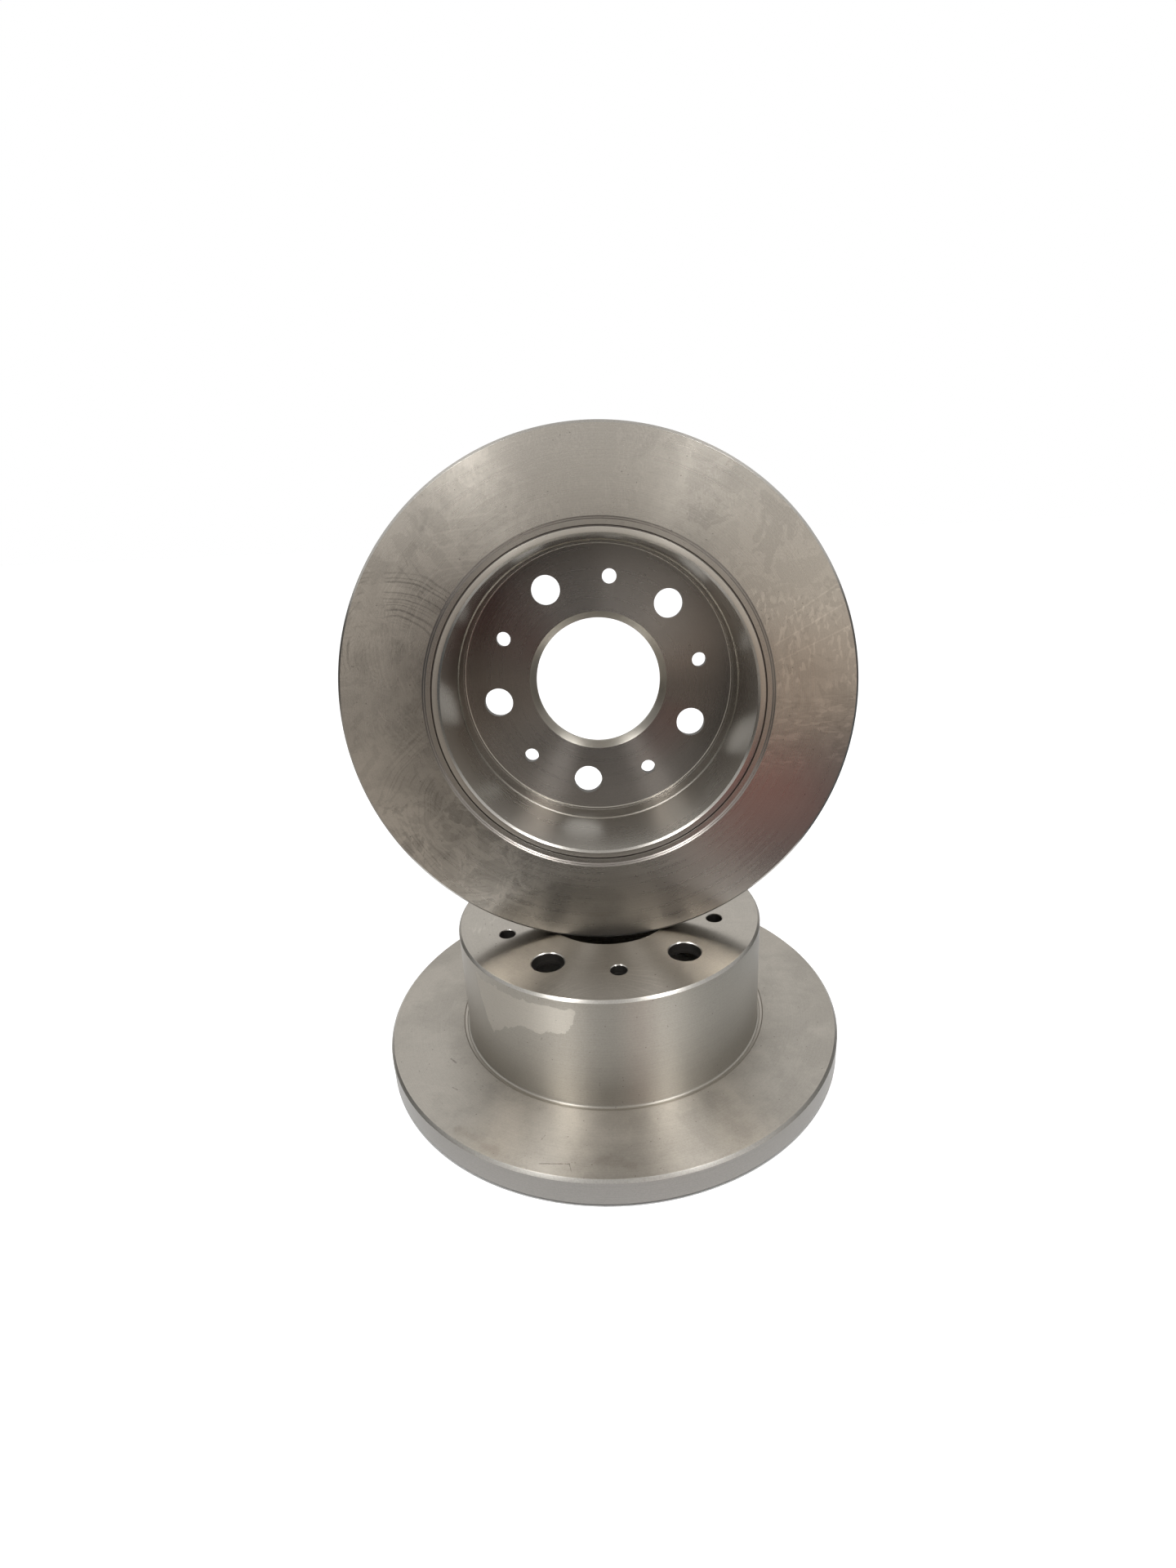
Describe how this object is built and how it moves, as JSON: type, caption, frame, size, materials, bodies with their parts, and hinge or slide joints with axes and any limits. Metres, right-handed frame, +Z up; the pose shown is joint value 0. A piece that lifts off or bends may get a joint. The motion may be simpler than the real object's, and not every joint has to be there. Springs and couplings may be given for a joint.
{
  "type": "brake disc rotor pair",
  "caption": "Cast iron brake disc rotors with a parking brake drum inside the hat: the lower lies hat up, and the upper stands on its rim in the lower bore and turns there.",
  "frame": {"origin": "on the lower rotor's axis, at the floor", "axes": "+Z up along the lower rotor's axis, -Y to the side that the upper rotor's open face looks at"},
  "size_m": [0.28, 0.28, 0.3592],
  "materials": {
    "machined_iron": "fine turned, bare metal"
  },
  "bodies": {
    "lower": {"lower_rotor": "machined_iron"},
    "upper": {"upper_rotor": "machined_iron"}
  },
  "joints": [
    {"name": "upper_rotor_turn", "type": "hinge", "parent": "lower", "child": "upper", "pos_m": [0, -0.01676, 0.21977], "axis": [0, -0.9966, 0.0828], "continuous": true}
  ]
}
